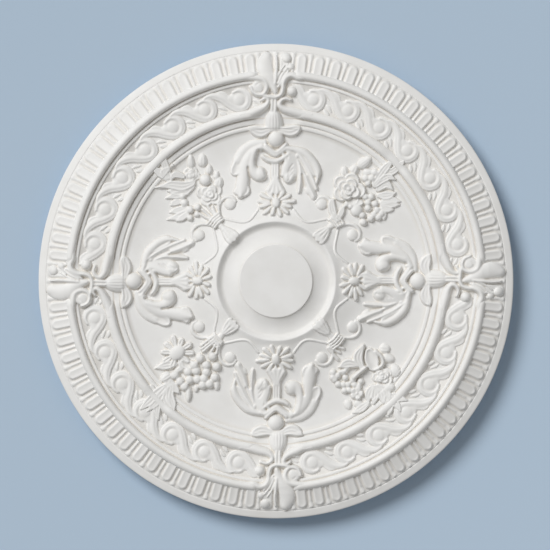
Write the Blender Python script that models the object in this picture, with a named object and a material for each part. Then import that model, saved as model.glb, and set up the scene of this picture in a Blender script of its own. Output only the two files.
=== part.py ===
"""A cast ceiling rose: a fluted rim, a band of running scrolls, four axis ornaments and four bouquets.

The face is laid out flat, with x to the right, y up and h away from the back, and angles run clockwise from
the top. seated() then turns it over, so that the flat back lies at z = 0 against the ceiling and the carved
face looks down. Everything is one casting.
"""
import math

import bmesh
import bpy
from mathutils import Vector

# Breadth of each zone along the radius, in metres. The field between lip and inner frame takes what is left.
DIAMETER = 0.840
SEAT_RADIUS = 0.0645
SEAT_CHAMFER = 0.001
DISH_WIDTH = 0.0325
LIP_WIDTH = 0.010
INNER_FRAME_WIDTH = 0.022
BAND_WIDTH = 0.049
LEDGE_WIDTH = 0.005
OUTER_FRAME_WIDTH = 0.014
FLUTE_LENGTH = 0.0375
RIM_WIDTH = 0.0135

# Heights above the flat back, in metres
SEAT_HEIGHT = 0.050
SEAT_STEP = 0.003
DISH_HEIGHT = 0.038
LIP_HEIGHT = 0.047
FIELD_TOP = 0.044
FIELD_LOW = 0.0205
FIELD_RIM = 0.0225
INNER_FRAME_HEIGHT = 0.036
BAND_HEIGHT = 0.027
LEDGE_HEIGHT = 0.0295
OUTER_FRAME_HEIGHT = 0.038
FLUTE_TOP = 0.029
FLUTE_FOOT = 0.0165
COVE_HEIGHT = 0.0112
RIM_HEIGHT = 0.0125
RIM_CHAMFER = 0.0015

# Carving: how far each kind of ornament stands above the ground it lies on
FLUTE_RISE = 0.0045
SCROLL_RISE = 0.005
PLUME_RISE = 0.012
VOLUTE_RISE = 0.015
BALL_RISE = 0.016
BUD_RISE = 0.013
LEAF_RISE = 0.009
MANTLE_RISE = 0.013
DAISY_RISE = 0.014
FLOWER_RISE = 0.014
STEM_RISE = 0.005
RIB_RISE = 0.0035
CURL_RISE = 0.009

# Counts and the pitch of the repeated ornament
FLUTE_COUNT = 80
SCROLLS_PER_QUARTER = 7
SCROLL_PITCH = 11.15
DAISY_PETALS = 12
AXES = (0, 90, 180, 270)
CORNERS = (45, 135, 225, 315)

# Every ornament runs down into the casting to this height, and its edges start this far under the ground
KEEL = 0.006
SINK = 0.0015

# Faces that meet at less than this angle, in radians, are read as one
FLAT_ANGLE = math.radians(2)

PLASTER_WHITE = (0.86, 0.86, 0.84, 1.0)
PLASTER_ROUGHNESS = 0.62

# Where the zones begin, from the rim inwards and from the seat outwards
LIP_START = SEAT_RADIUS + SEAT_CHAMFER + DISH_WIDTH
FIELD_START = LIP_START + LIP_WIDTH
RIM_START = DIAMETER / 2 - RIM_WIDTH
FLUTE_START = RIM_START - FLUTE_LENGTH
OUTER_FRAME_START = FLUTE_START - OUTER_FRAME_WIDTH
LEDGE_START = OUTER_FRAME_START - LEDGE_WIDTH
BAND_START = LEDGE_START - BAND_WIDTH
FIELD_END = BAND_START - INNER_FRAME_WIDTH
CELL = (FIELD_END - FIELD_START) / 100
COLUMN = 360 / FLUTE_COUNT


def seated(point):
    """Turns a point of the face over, to look down from the ceiling."""
    x, y, h = point
    return Vector((x, -y, -h))


def polar(radius, angle):
    turn = math.radians(angle)
    return Vector((radius * math.sin(turn), radius * math.cos(turn)))


def field_spot(angle, out, across):
    """A place on the ray at an angle: out from the lip and across it clockwise, in hundredths of the field."""
    turn = math.radians(angle)
    ray = Vector((math.sin(turn), math.cos(turn)))
    side = Vector((math.cos(turn), -math.sin(turn)))
    return ray * (FIELD_START + out * CELL) + side * (across * CELL)


def mix(low, high, share):
    return low + (high - low) * share


def dish_stations():
    """The seat's edge and the hollow round it."""
    foot = SEAT_HEIGHT - SEAT_STEP
    stations = [(SEAT_RADIUS, SEAT_HEIGHT), (SEAT_RADIUS + SEAT_CHAMFER, foot)]
    for share in (0.5, 1.0):
        radius = SEAT_RADIUS + SEAT_CHAMFER + share * DISH_WIDTH
        stations.append((radius, mix(DISH_HEIGHT, foot, (1 - share) ** 2)))
    return stations


def lip_stations():
    """The round lip between the dish and the field."""
    stations = []
    for step in (1, 2, 3, 4):
        turn = math.pi * step / 4
        share = (1 - math.cos(turn)) / 2
        base = mix(DISH_HEIGHT, FIELD_TOP, share)
        stations.append((LIP_START + share * LIP_WIDTH, mix(base, LIP_HEIGHT, math.sin(turn))))
    return stations


def field_height(share):
    """The field falls like a bell from the lip, and lifts a little at the frame."""
    turn_share = 0.77
    if share < turn_share:
        return mix(FIELD_LOW, FIELD_TOP, (1 - share / turn_share) ** 2)
    return mix(FIELD_LOW, FIELD_RIM, ((share - turn_share) / (1 - turn_share)) ** 2)


def field_stations():
    width = FIELD_END - FIELD_START
    return [(FIELD_START + share * width, field_height(share)) for share in (0.09, 0.24, 0.45, 0.72, 1.0)]


def inner_frame_stations():
    """A broad inward slope up to the crest and a steep outer side."""
    steps = ((0.56, 0.96 * INNER_FRAME_HEIGHT), (0.76, INNER_FRAME_HEIGHT))
    return [(FIELD_END + share * INNER_FRAME_WIDTH, height) for share, height in steps]


def band_stations():
    """The flat ground of the running scrolls."""
    return [(BAND_START, BAND_HEIGHT), (LEDGE_START, BAND_HEIGHT)]


def outer_frame_stations():
    steps = ((0.0, LEDGE_HEIGHT), (0.4, 0.93 * OUTER_FRAME_HEIGHT), (0.72, OUTER_FRAME_HEIGHT))
    return [(OUTER_FRAME_START + share * OUTER_FRAME_WIDTH, height) for share, height in steps]


def rim_stations():
    """The cove outside the flutes, the rim's fillet and its edge down to the back."""
    return [
        (RIM_START, FLUTE_FOOT),
        (RIM_START + 0.6 * RIM_WIDTH, COVE_HEIGHT),
        (DIAMETER / 2 - RIM_CHAMFER, RIM_HEIGHT),
        (DIAMETER / 2, RIM_HEIGHT - RIM_CHAMFER),
    ]


CENTRE = dish_stations() + lip_stations()
MIDDLE = field_stations()
COARSE_MIDDLE = 3
INNER_FRAME = inner_frame_stations()
BAND = band_stations()
OUTER_FRAME = outer_frame_stations()
FLUTE_FLOOR = [(FLUTE_START, FLUTE_TOP)]
RIM = rim_stations()
STATIONS = CENTRE + MIDDLE + INNER_FRAME + BAND + OUTER_FRAME + FLUTE_FLOOR + RIM


def breaks_between(station):
    """How many degrees apart the breaks of a frame's moulding lie, or 0 for what runs on unbroken."""
    if station in OUTER_FRAME:
        return 90
    if station in INNER_FRAME:
        return 45
    return 0


def station_height(station, angle):
    """A station's height, lowered to the band where an ornament breaks the frame's moulding."""
    height = station[1]
    spacing = breaks_between(station)
    if not spacing:
        return height
    away = abs((angle + spacing / 2) % spacing - spacing / 2)
    return mix(min(height, BAND_HEIGHT), height, min(1.0, away / COLUMN))


def ground(spot):
    """The height of the turned face under a spot, without flutes or carving."""
    radius = spot.length
    angle = math.degrees(math.atan2(spot.x, spot.y)) % 360
    if radius <= STATIONS[0][0]:
        return SEAT_HEIGHT
    for inner, outer in zip(STATIONS, STATIONS[1:]):
        if radius <= outer[0]:
            share = (radius - inner[0]) / (outer[0] - inner[0])
            return mix(station_height(inner, angle), station_height(outer, angle), share)
    return 0.0


def add_ring(bm, station, count):
    corners = []
    for column in range(count):
        angle = column * 360 / count
        spot = polar(station[0], angle)
        corners.append(bm.verts.new(seated((spot.x, spot.y, station_height(station, angle)))))
    return corners


def add_flute_ring(bm, radius, floor, half_width):
    """A ring with three corners to a flute: the channel's bottom and the two edges of the raised tongue."""
    corners = []
    for flute in range(FLUTE_COUNT):
        for share, rise in ((0.0, 0.0), (0.5 - half_width, FLUTE_RISE), (0.5 + half_width, FLUTE_RISE)):
            spot = polar(radius, (flute + share) * COLUMN)
            height = floor + rise
            corners.append(bm.verts.new(seated((spot.x, spot.y, height))))
    return corners


def skin(bm, inner, outer):
    """Fills the strip between two rings that start at the same angle."""
    if len(inner) == len(outer):
        for corner in range(len(inner)):
            after = (corner + 1) % len(inner)
            bm.faces.new((inner[corner], outer[corner], outer[after], inner[after]))
        return
    near = far = 0
    while near < len(inner) or far < len(outer):
        here, there = inner[near % len(inner)], outer[far % len(outer)]
        if far == len(outer) or (near < len(inner) and (near + 1) / len(inner) < (far + 1) / len(outer)):
            near += 1
            bm.faces.new((here, there, inner[near % len(inner)]))
        else:
            far += 1
            bm.faces.new((here, there, outer[far % len(outer)]))


def skin_flat(bm, inner, outer, sectors):
    """Fills a flat strip between two like rings with a few large faces."""
    span = len(inner) // sectors
    for sector in range(sectors):
        columns = [(sector * span + step) % len(inner) for step in range(span + 1)]
        bm.faces.new([inner[column] for column in reversed(columns)] + [outer[column] for column in columns])


def flute_rings(bm):
    """The fluted band, from the outer frame's foot to the cove: tongues with square roots and tapered ends."""
    rings = []
    for share, half_width in ((0.0, 0.29), (0.86, 0.24)):
        radius = FLUTE_START + share * FLUTE_LENGTH
        rings.append(add_flute_ring(bm, radius, mix(FLUTE_TOP, FLUTE_FOOT, share), half_width))
    return rings


def finish_mesh(bm, name):
    bmesh.ops.recalc_face_normals(bm, faces=bm.faces)
    mesh = bpy.data.meshes.new(name)
    bm.to_mesh(mesh)
    bm.free()
    return bpy.data.objects.new(name, mesh)


def turned_body():
    """The rose without its carving, from the seat in the middle to the rim, closed by the flat back."""
    bm = bmesh.new()
    rings = [add_ring(bm, station, FLUTE_COUNT // 2) for station in CENTRE + MIDDLE[:COARSE_MIDDLE]]
    rings += [add_ring(bm, station, FLUTE_COUNT) for station in MIDDLE[COARSE_MIDDLE:] + INNER_FRAME + BAND[:1]]
    band_ring = len(rings) - 1
    rings += [add_ring(bm, station, FLUTE_COUNT) for station in BAND[1:] + OUTER_FRAME]
    rings += flute_rings(bm)
    rings += [add_ring(bm, station, FLUTE_COUNT) for station in RIM + [(DIAMETER / 2, 0.0)]]
    for number, (inner, outer) in enumerate(zip(rings, rings[1:])):
        if number == band_ring:
            skin_flat(bm, inner, outer, 8)
        else:
            skin(bm, inner, outer)
    bm.faces.new(rings[0])
    bm.faces.new(rings[-1])
    return finish_mesh(bm, "ceiling_rose")


class Carving:
    """Gathers the ornaments, each a closed solid that reaches down into the casting."""

    def __init__(self):
        self.collection = bpy.data.collections.new("carving")
        bpy.context.scene.collection.children.link(self.collection)

    def add(self, bm, name):
        solid = finish_mesh(bm, name)
        solid.hide_render = True
        solid.display_type = "WIRE"
        self.collection.objects.link(solid)

    def ridge(self, name, path, half_widths, rises):
        """A ridge with one crest along a path of spots, with its half width and its rise at each."""
        bm = bmesh.new()
        sections = []
        for step, (spot, half_width, rise) in enumerate(zip(path, half_widths, rises)):
            before = path[max(step - 1, 0)]
            after = path[min(step + 1, len(path) - 1)]
            heading = (after - before).normalized()
            side = Vector((-heading.y, heading.x)) * half_width * (rise + SINK) / rise
            left, right = spot + side, spot - side
            corners = (
                (left.x, left.y, KEEL),
                (left.x, left.y, ground(left) - SINK),
                (spot.x, spot.y, ground(spot) + rise),
                (right.x, right.y, ground(right) - SINK),
                (right.x, right.y, KEEL),
            )
            sections.append([bm.verts.new(seated(corner)) for corner in corners])
        for near, far in zip(sections, sections[1:]):
            skin(bm, near, far)
        bm.faces.new(sections[0])
        bm.faces.new(sections[-1])
        self.add(bm, name)

    def mound(self, name, spot, angle, length, width, rise, sides=8, shoulder=0.66, lift=0.78):
        """A rounded mound, such as a ball, a bud or a plain leaf, with its length along the ray at an angle."""
        bm = bmesh.new()
        ray = polar(1.0, angle)
        side = Vector((ray.y, -ray.x))
        keel, foot, top = [], [], []
        for corner in range(sides):
            turn = 2 * math.pi * (corner + 0.5) / sides
            reach = ray * (length / 2 * math.cos(turn)) + side * (width / 2 * math.sin(turn))
            edge = spot + reach
            keel.append(bm.verts.new(seated((edge.x, edge.y, KEEL))))
            foot.append(bm.verts.new(seated((edge.x, edge.y, ground(edge) - SINK))))
            edge = spot + reach * shoulder
            top.append(bm.verts.new(seated((edge.x, edge.y, ground(spot) + lift * rise))))
        crown = bm.verts.new(seated((spot.x, spot.y, ground(spot) + rise)))
        skin(bm, keel, foot)
        skin(bm, foot, top)
        for corner in range(sides):
            bm.faces.new((top[corner], top[(corner + 1) % sides], crown))
        bm.faces.new(keel)
        self.add(bm, name)

    def bloom(self, name, spot, radius, petals, rise, notch=0.7, heart=0.5):
        """An open flower: a star of petals that rise towards its heart, and a raised button."""
        bm = bmesh.new()
        keel, rim, hollow = [], [], []
        base = ground(spot)
        for corner in range(2 * petals):
            tip = corner % 2 == 0
            edge = spot + polar(radius if tip else notch * radius, corner * 180 / petals)
            keel.append(bm.verts.new(seated((edge.x, edge.y, KEEL))))
            rim.append(bm.verts.new(seated((edge.x, edge.y, ground(edge) - SINK))))
            if tip:
                edge = spot + polar(heart * radius, corner * 180 / petals)
                hollow.append(bm.verts.new(seated((edge.x, edge.y, base + 0.8 * rise))))
        crown = bm.verts.new(seated((spot.x, spot.y, base + rise)))
        skin(bm, keel, rim)
        skin(bm, rim, hollow)
        for corner in range(petals):
            bm.faces.new((hollow[corner], hollow[(corner + 1) % petals], crown))
        bm.faces.new(keel)
        self.add(bm, name)


def scroll_path(angle, points):
    """One wave of the running scroll, from the last wave's top, under its own eye and round into it."""
    middle = BAND_START + BAND_WIDTH / 2
    path = []
    for step in range(points):
        share = step / (points - 1)
        turn = math.radians(mix(146, 445, share ** 0.8))
        reach = BAND_WIDTH * (0.30 - 0.09 * share + 0.38 * (1 - share) ** 4)
        across = math.degrees(reach * math.cos(turn) / middle)
        path.append(polar(middle + reach * math.sin(turn), angle + across))
    return path


def carve_scrolls(carving):
    points = 6
    shares = [step / (points - 1) for step in range(points)]
    half_widths = [BAND_WIDTH * (0.045 + 0.08 * math.sin(math.pi * share ** 0.8)) for share in shares]
    rises = [SCROLL_RISE * (0.55 + 0.45 * math.sin(math.pi * share)) for share in shares]
    for corner in CORNERS:
        for wave in range(SCROLLS_PER_QUARTER):
            angle = corner + (wave - (SCROLLS_PER_QUARTER - 1) / 2) * SCROLL_PITCH
            carving.ridge(f"scroll_{corner}_{wave}", scroll_path(angle, points), half_widths, rises)


def carve_plume(carving, axis):
    """Three lobes over the flutes on one stem, and the volutes that end the outer frame."""
    root = LEDGE_START - 0.4 * BAND_WIDTH
    tip = RIM_START - 0.1 * FLUTE_LENGTH
    reach = tip - root
    for side in (-1, 0, 1):
        path = []
        for share, spread in ((0.0, 0.0), (0.6, 0.12), (0.94 if side else 1.0, 0.33)):
            spot = polar(root + share * reach, axis)
            path.append(spot + polar(1.0, axis + 90) * (side * spread * reach))
        widths = [reach * width for width in (0.06, 0.17, 0.12)]
        carving.ridge(f"plume_{axis}_{side + 1}", path, widths, [PLUME_RISE * rise for rise in (0.8, 1.0, 0.7)])
    volute = 0.5 * OUTER_FRAME_WIDTH + LEDGE_WIDTH
    for side in (-1, 1):
        spot = polar(LEDGE_START - 0.3 * volute, axis) + polar(1.0, axis + 90) * (side * 2.4 * volute)
        carving.mound(f"volute_{axis}_{side}", spot, axis, 2.3 * volute, 2.1 * volute, VOLUTE_RISE, 6)


def carve_bud(carving, axis):
    """The bud that crosses the inner frame, its two side leaves and the ball below it."""
    carving.mound(f"bud_{axis}", field_spot(axis, 105, 0), axis, 27 * CELL, 16 * CELL, BUD_RISE, 6)
    for side in (-1, 1):
        spot = field_spot(axis, 90, side * 16.5)
        carving.mound(f"side_leaf_{axis}_{side}", spot, axis, 12 * CELL, 21 * CELL, LEAF_RISE, 6)
    carving.mound(f"ball_{axis}", field_spot(axis, 83, 0), axis, 18 * CELL, 18 * CELL, BALL_RISE, 6, 0.7, 0.7)


def carve_acanthus(carving, axis):
    """The leaf that hangs from the ball: a mantle in the middle and three curling lobes on each side."""
    carving.mound(f"mantle_{axis}", field_spot(axis, 51, 0), axis, 64 * CELL, 30 * CELL, MANTLE_RISE, 6, 0.62, 0.85)
    lobes = (
        ("near", ((75, 6), (69, 17), (54, 20), (38, 13)), (4, 6, 6.5, 6), (1.4, 1.7, 1.7, 1.2)),
        ("low", ((62, 20), (45, 29), (27, 38)), (5, 6, 3), (1.2, 1.1, 0.5)),
        ("far", ((76, 12), (68, 29), (51, 43)), (4, 5.5, 3.5), (1.1, 1.1, 0.5)),
    )
    for side in (-1, 1):
        for name, places, widths, rises in lobes:
            path = [field_spot(axis, out, side * across) for out, across in places]
            half_widths = [width * CELL for width in widths]
            carving.ridge(f"lobe_{name}_{axis}_{side}", path, half_widths, [LEAF_RISE * rise for rise in rises])
    carving.bloom(f"daisy_{axis}", field_spot(axis, 18, 0), 19 * CELL, DAISY_PETALS, DAISY_RISE)


def carve_tie(carving, corner):
    """The lotus that opens from the lip to the tie, the two thin ribs and the two curls beside it."""
    flare = [field_spot(corner, out, 0) for out in (-3, 14, 26)]
    lotus_widths = [width * CELL for width in (11, 5, 6)]
    carving.ridge(f"lotus_{corner}", flare, lotus_widths, [STEM_RISE * rise for rise in (0.5, 1.7, 2.0)])
    for side in (-1, 1):
        path = []
        for share in (0.0, 0.45, 1.0):
            out = mix(20, 10, share) - 13 * math.sin(math.pi * share)
            path.append(polar(FIELD_START + out * CELL, corner + side * mix(3, 34, share)))
        carving.ridge(f"rib_{corner}_{side}", path, [1.8 * CELL] * 3, [RIB_RISE] * 3)
        curl = [field_spot(corner, out, side * across) for out, across in ((24, 7), (34, 16), (23, 21))]
        curl_widths = [width * CELL for width in (2, 3, 3.8)]
        carving.ridge(f"curl_{corner}_{side}", curl, curl_widths, [CURL_RISE * rise for rise in (0.7, 0.9, 1.0)])


# Each bouquet's flowers: out from the lip, across, radius and petals
BOUQUET_BLOOMS = {
    45: ((58, -15, 16, 8),),
    135: ((81, 27, 10, 5), (85, -8, 11, 6)),
    225: ((61, 23, 15, 11),),
    315: ((76, 15, 14, 6), (52, 14, 13, 7)),
}

# Buds, berries and small leaves: out, across, length, width and the way they point from the ray
BOUQUET_MOUNDS = {
    45: ((88, -23, 17, 11, -10), (78, -7, 15, 14, 0), (56, 22, 18, 17, 0), (47, 6, 14, 14, 0)),
    135: ((66, -14, 28, 17, -45), (55, 18, 20, 18, 0), (70, 8, 17, 16, 0), (78, -27, 16, 10, -20)),
    225: ((57, -9, 20, 19, 0), (75, -10, 19, 18, 0), (47, -22, 16, 15, 0), (45, 1, 15, 14, 0)),
    315: ((61, 27, 14, 12, 0), (85, 29, 14, 13, 0), (53, -10, 17, 16, 0), (68, -3, 17, 16, 0)),
}

# Leaves: root out and across, tip out and across, and the half width at the middle
BOUQUET_LEAVES = {
    45: ((69, 12, 88, 24, 5), (63, 24, 82, 36, 5)),
    135: ((76, 24, 94, 38, 5), (58, -16, 66, -33, 4.5)),
    225: ((68, 20, 89, 27, 4.5), (78, -14, 90, -24, 4.5)),
    315: ((68, 0, 91, -20, 5.5), (55, -14, 60, -34, 5)),
}

# The spray that crosses the inner frame: its root, its tips and their half width
BOUQUET_SPRAYS = {
    45: ((84, 0, 114, -3, 8), (86, 5, 104, 13, 6)),
    135: ((88, 0, 116, 0, 8), (90, -3, 106, -12, 6)),
    225: ((84, 2, 120, 4, 8), (90, -2, 106, -11, 6)),
    315: ((84, 2, 116, 1, 8), (90, 4, 106, 13, 6)),
}


def carve_leaf(carving, name, corner, leaf, rise):
    """A pointed leaf with one rib, from its root to its tip."""
    root_out, root_across, tip_out, tip_across, half_width = leaf
    shares = (0.0, 0.45, 1.0)
    path = [field_spot(corner, mix(root_out, tip_out, s), mix(root_across, tip_across, s)) for s in shares]
    half_widths = [half_width * CELL * share for share in (0.45, 1.0, 0.2)]
    carving.ridge(name, path, half_widths, [rise * share for share in (1.0, 1.0, 0.35)])


def carve_bouquet(carving, corner):
    for number, (out, across, radius, petals) in enumerate(BOUQUET_BLOOMS[corner]):
        spot = field_spot(corner, out, across)
        carving.bloom(f"bloom_{corner}_{number}", spot, radius * CELL, petals, FLOWER_RISE, 0.8)
    for number, (out, across, length, width, point) in enumerate(BOUQUET_MOUNDS[corner]):
        spot = field_spot(corner, out, across)
        size = (length * CELL, width * CELL)
        carving.mound(f"bud_{corner}_{number}", spot, corner + point, size[0], size[1], 0.85 * BUD_RISE, 6)
    for number, leaf in enumerate(BOUQUET_LEAVES[corner]):
        carve_leaf(carving, f"leaf_{corner}_{number}", corner, leaf, 0.8 * LEAF_RISE)
    for number, leaf in enumerate(BOUQUET_SPRAYS[corner]):
        carve_leaf(carving, f"spray_{corner}_{number}", corner, leaf, LEAF_RISE)
    stems = [field_spot(corner, out, 0) for out in (24, 52)]
    carving.ridge(f"stems_{corner}", stems, [5 * CELL, 19 * CELL], [2.0 * STEM_RISE, 1.6 * STEM_RISE])


def plaster():
    material = bpy.data.materials.new("plaster_white")
    material.use_nodes = True
    shader = material.node_tree.nodes["Principled BSDF"]
    shader.inputs["Base Color"].default_value = PLASTER_WHITE
    shader.inputs["Roughness"].default_value = PLASTER_ROUGHNESS
    shader.inputs["Metallic"].default_value = 0.0
    return material


def main():
    for leftover in list(bpy.data.objects):
        bpy.data.objects.remove(leftover, do_unlink=True)
    rose = turned_body()
    bpy.context.scene.collection.objects.link(rose)
    rose.data.materials.append(plaster())
    carving = Carving()
    carve_scrolls(carving)
    for axis in AXES:
        carve_plume(carving, axis)
        carve_bud(carving, axis)
        carve_acanthus(carving, axis)
    for corner in CORNERS:
        carve_tie(carving, corner)
        carve_bouquet(carving, corner)
    union = rose.modifiers.new("carving", "BOOLEAN")
    union.operation = "UNION"
    union.solver = "EXACT"
    union.operand_type = "COLLECTION"
    union.collection = carving.collection
    thin = rose.modifiers.new("thin", "DECIMATE")
    thin.decimate_type = "DISSOLVE"
    thin.angle_limit = FLAT_ANGLE


main()
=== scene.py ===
import math

import bpy
import numpy as np
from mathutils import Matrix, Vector


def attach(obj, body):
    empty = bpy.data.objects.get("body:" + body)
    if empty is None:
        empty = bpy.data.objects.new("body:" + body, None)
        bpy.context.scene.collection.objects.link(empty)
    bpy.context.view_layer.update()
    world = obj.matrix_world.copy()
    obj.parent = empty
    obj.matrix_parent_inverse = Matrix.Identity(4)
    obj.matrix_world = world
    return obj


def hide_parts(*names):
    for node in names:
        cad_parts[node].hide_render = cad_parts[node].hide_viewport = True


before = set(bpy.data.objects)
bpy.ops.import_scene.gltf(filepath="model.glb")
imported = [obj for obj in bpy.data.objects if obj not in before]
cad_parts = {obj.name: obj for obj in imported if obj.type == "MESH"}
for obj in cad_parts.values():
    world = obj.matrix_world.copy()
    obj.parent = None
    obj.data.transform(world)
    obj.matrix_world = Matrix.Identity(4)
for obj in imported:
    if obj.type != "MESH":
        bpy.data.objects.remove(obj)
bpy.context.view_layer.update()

# The face is laid out as in part.py: angles run clockwise from its top, and height is measured from the flat
# back. Lengths here are in millimetres, and metres() turns a place on the face into the row frame.
MM = 0.001

TURNED_COLUMNS = 640
CAP_RADIUS = 0.5
SEAT_LEVEL = 50.0
RIM_RADIUS = 420.0
RIM_FOOT = 6.0

# A sheet of carving has cells of STEP. Its corners that don't rise lie SUNK under the face, TRIM comes off every
# rise, and a rise that is below SPECK when softened is left out. Above the lip's level it may rise by SOFT_LIMIT.
STEP = 0.9
SUNK = 1.2
TRIM = 0.25
SPECK = 0.15
LIP_LEVEL = 47.0
SOFT_LIMIT = 2.7

# The grids of the ornaments, from and to along the radius and across it
AXIS_GRID = (106, 407, -84, 84)
BOUQUET_GRID = (100, 335, -75, 75)
AXES = {"n": 0, "e": 90, "s": 180, "w": 270}

# How much of its modelled rise the carving keeps, fitted to the contrast of the photograph
ORNAMENT_SHARE = 0.87
SCROLL_SHARE = 0.85

FLUTES = 80
FLUTE_COLUMNS = 24
TONGUE_HALF = 8.6
TONGUE_END = 395.4

BAND_MIDDLE = 326.5
SCROLL_PITCH = 11.15
SCROLLS_IN_QUARTER = 7
QUARTER_HALF = 40.2

# How far below its surroundings a corner has to lie to take the full painted shade of a hollow
TURNED_SHADE_DEPTH = 1.6
CARVED_SHADE_DEPTH = 2.0
SHADE_REACH = 10

# The sockets of a Mix node that mixes colours
MIX_FACTOR, MIX_FIRST, MIX_SECOND, MIX_RESULT = 0, 6, 7, 2
WARM_WHITE = (1.0, 0.995, 0.985)


def smooth_step(low, high, value):
    share = np.clip((value - low) / (high - low), 0.0, 1.0)
    return share * share * (3 - 2 * share)


def dome(off):
    """A half round over an offset of 0 to 1."""
    return np.sqrt(np.clip(1 - off ** 2, 0, 1))


def full_edge(off, width):
    """1 over most of a section, and a steep fall to 0 over the last part of it."""
    return np.clip((1 - off) / width, 0, 1) ** 0.6


def soften(values, rounds):
    """A light blur over a grid of values."""
    for _ in range(rounds):
        padded = np.pad(values, 1, mode="edge")
        values = 0.25 * padded[:-2, 1:-1] + 0.5 * padded[1:-1, 1:-1] + 0.25 * padded[2:, 1:-1]
        padded = np.pad(values, 1, mode="edge")
        values = 0.25 * padded[1:-1, :-2] + 0.5 * padded[1:-1, 1:-1] + 0.25 * padded[1:-1, 2:]
    return values


# The turned face

def field_height(radius):
    share = (radius - 108) / 171
    bell = 20.5 + 23.5 * np.clip(1 - share / 0.77, 0, 1) ** 2
    return bell + 2.0 * np.clip((share - 0.77) / 0.23, 0, 1) ** 2


def centre_profile():
    points = [(0.0, 50.0), (30.0, 50.0), (62.5, 50.0), (63.7, 49.95), (64.3, 49.7), (64.6, 49.2)]
    points += [(64.9, 47.7), (65.3, 47.1), (66.0, 46.8)]
    points += [(66 + 28 * s, 38.4 + 8.4 * (1 - s) ** 2) for s in np.linspace(0.08, 1, 13)]
    points += [(95.2, 38.9), (96.8, 39.6), (98.6, 41.0), (100.4, 42.8), (102.0, 44.6), (103.4, 46.0), (104.6, 46.8)]
    points += [(105.6, 46.9), (106.8, 46.4), (108.4, 45.4), (110.8, 44.0), (113.2, 42.6)]
    return points


def field_profile():
    """The field, its two fillets and the hollow before the inner frame."""
    points = [(r, float(field_height(r))) for r in np.linspace(115, 269.5, 22)]
    points += [(270.3, 22.6), (270.7, 23.9), (271.5, 24.4), (274.0, 24.7), (275.6, 24.8), (276.2, 24.2),
               (276.7, 23.4)]
    points += [(278.6, 23.3), (279.0, 24.6), (279.5, 25.6), (280.4, 26.0), (283.5, 26.5), (286.4, 26.8),
               (287.2, 26.2)]
    points += [(287.8, 25.2), (288.6, 24.9)]
    return points


def inner_frame_profile():
    return [(289.2, 26.0), (289.8, 28.6), (290.6, 31.4), (291.8, 33.8), (293.4, 35.2), (295.4, 35.9), (297.6, 36.0),
            (300.0, 35.4), (302.2, 34.0), (304.2, 31.8), (305.8, 29.4), (306.8, 27.6)]


def band_profile():
    return [(307.4, 27.0), (325.0, 27.0), (350.6, 27.0), (351.2, 27.5), (351.5, 29.2), (352.2, 29.8), (355.4, 29.8),
            (356.2, 29.2), (357.0, 28.2)]


def outer_frame_profile():
    return [(357.8, 28.4), (358.4, 30.4), (359.2, 33.2), (360.4, 35.8), (362.0, 37.3), (364.0, 38.0), (366.2, 37.9),
            (368.4, 36.8), (370.4, 34.9), (371.8, 32.6), (372.6, 30.2)]


def rim_profile():
    points = [(373.2, 26.0), (388.0, 20.0), (406.0, 13.4), (406.5, 15.6), (407.2, 16.1), (408.4, 15.9)]
    points += [(411.0, 15.0), (414.0, 14.0), (417.0, 13.0), (418.8, 12.3), (419.7, 11.5), (420.0, 10.6)]
    return points


PROFILE = np.array(centre_profile() + field_profile() + inner_frame_profile() + band_profile()
                   + outer_frame_profile() + rim_profile())
FLUTE_FLOOR = np.array(((369.0, 29.6), (388.0, 22.6), (406.4, 16.2)))


def away_from(angle, spacing):
    """Degrees to the nearest multiple of a spacing."""
    return np.abs((angle + spacing / 2) % spacing - spacing / 2)


def flat_ground(radius):
    """The height of the turned face without its two frames and the fillets beside them."""
    height = np.interp(radius, PROFILE[:, 0], PROFILE[:, 1])
    under = np.interp(radius, (268, 280, 290, 300, 307.5, 350, 357, 363, 369, 376, 388),
                      (22.4, 23.4, 24.8, 26.2, 27.0, 27.0, 27.1, 26.6, 25.2, 23.8, 20.0))
    framed = ((radius > 268) & (radius < 307.5)) | ((radius > 350) & (radius < 388))
    return np.where(framed, np.minimum(height, under), height)


def ground(radius, angle):
    """The height of the turned face. Its frames stop at the axes, and the inner one is lower at the diagonals."""
    low = flat_ground(radius)
    high = np.interp(radius, PROFILE[:, 0], PROFILE[:, 1])
    diagonal = 0.75 + 0.25 * smooth_step(2.5, 6.5, away_from(angle - 45, 90))
    inner = smooth_step(5.6, 9.2, away_from(angle, 90)) * diagonal
    outer = smooth_step(3.6, 6.4, away_from(angle, 90))
    return low + (high - low) * np.where(radius < BAND_MIDDLE, inner, outer)


def metres(x, y, height):
    """Places on the face, in the row frame: the face looks down from the ceiling."""
    return np.stack([x, -y, -height], axis=-1) * MM


def add_mesh(name, corners, faces, painted_shade):
    """A smooth piece of the casting from corners, faces of four and each corner's share of the shade painted into
    its hollows.
    """
    mesh = bpy.data.meshes.new(name)
    mesh.vertices.add(len(corners))
    mesh.vertices.foreach_set("co", corners.astype(np.float32).ravel())
    mesh.loops.add(faces.size)
    mesh.loops.foreach_set("vertex_index", faces.astype(np.int32).ravel())
    mesh.polygons.add(len(faces))
    mesh.polygons.foreach_set("loop_start", np.arange(0, faces.size, 4, dtype=np.int32))
    mesh.polygons.foreach_set("loop_total", np.full(len(faces), 4, dtype=np.int32))
    mesh.polygons.foreach_set("use_smooth", np.ones(len(faces), dtype=bool))
    # Each corner's share of painted shade, read by the finish to darken and warm the hollows
    layer = mesh.attributes.new("painted_shade", "FLOAT", "POINT")
    layer.data.foreach_set("value", painted_shade.astype(np.float32).ravel())
    mesh.update(calc_edges=True)
    mesh.validate()
    piece = bpy.data.objects.new(name, mesh)
    bpy.context.scene.collection.objects.link(piece)
    return piece


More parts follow.
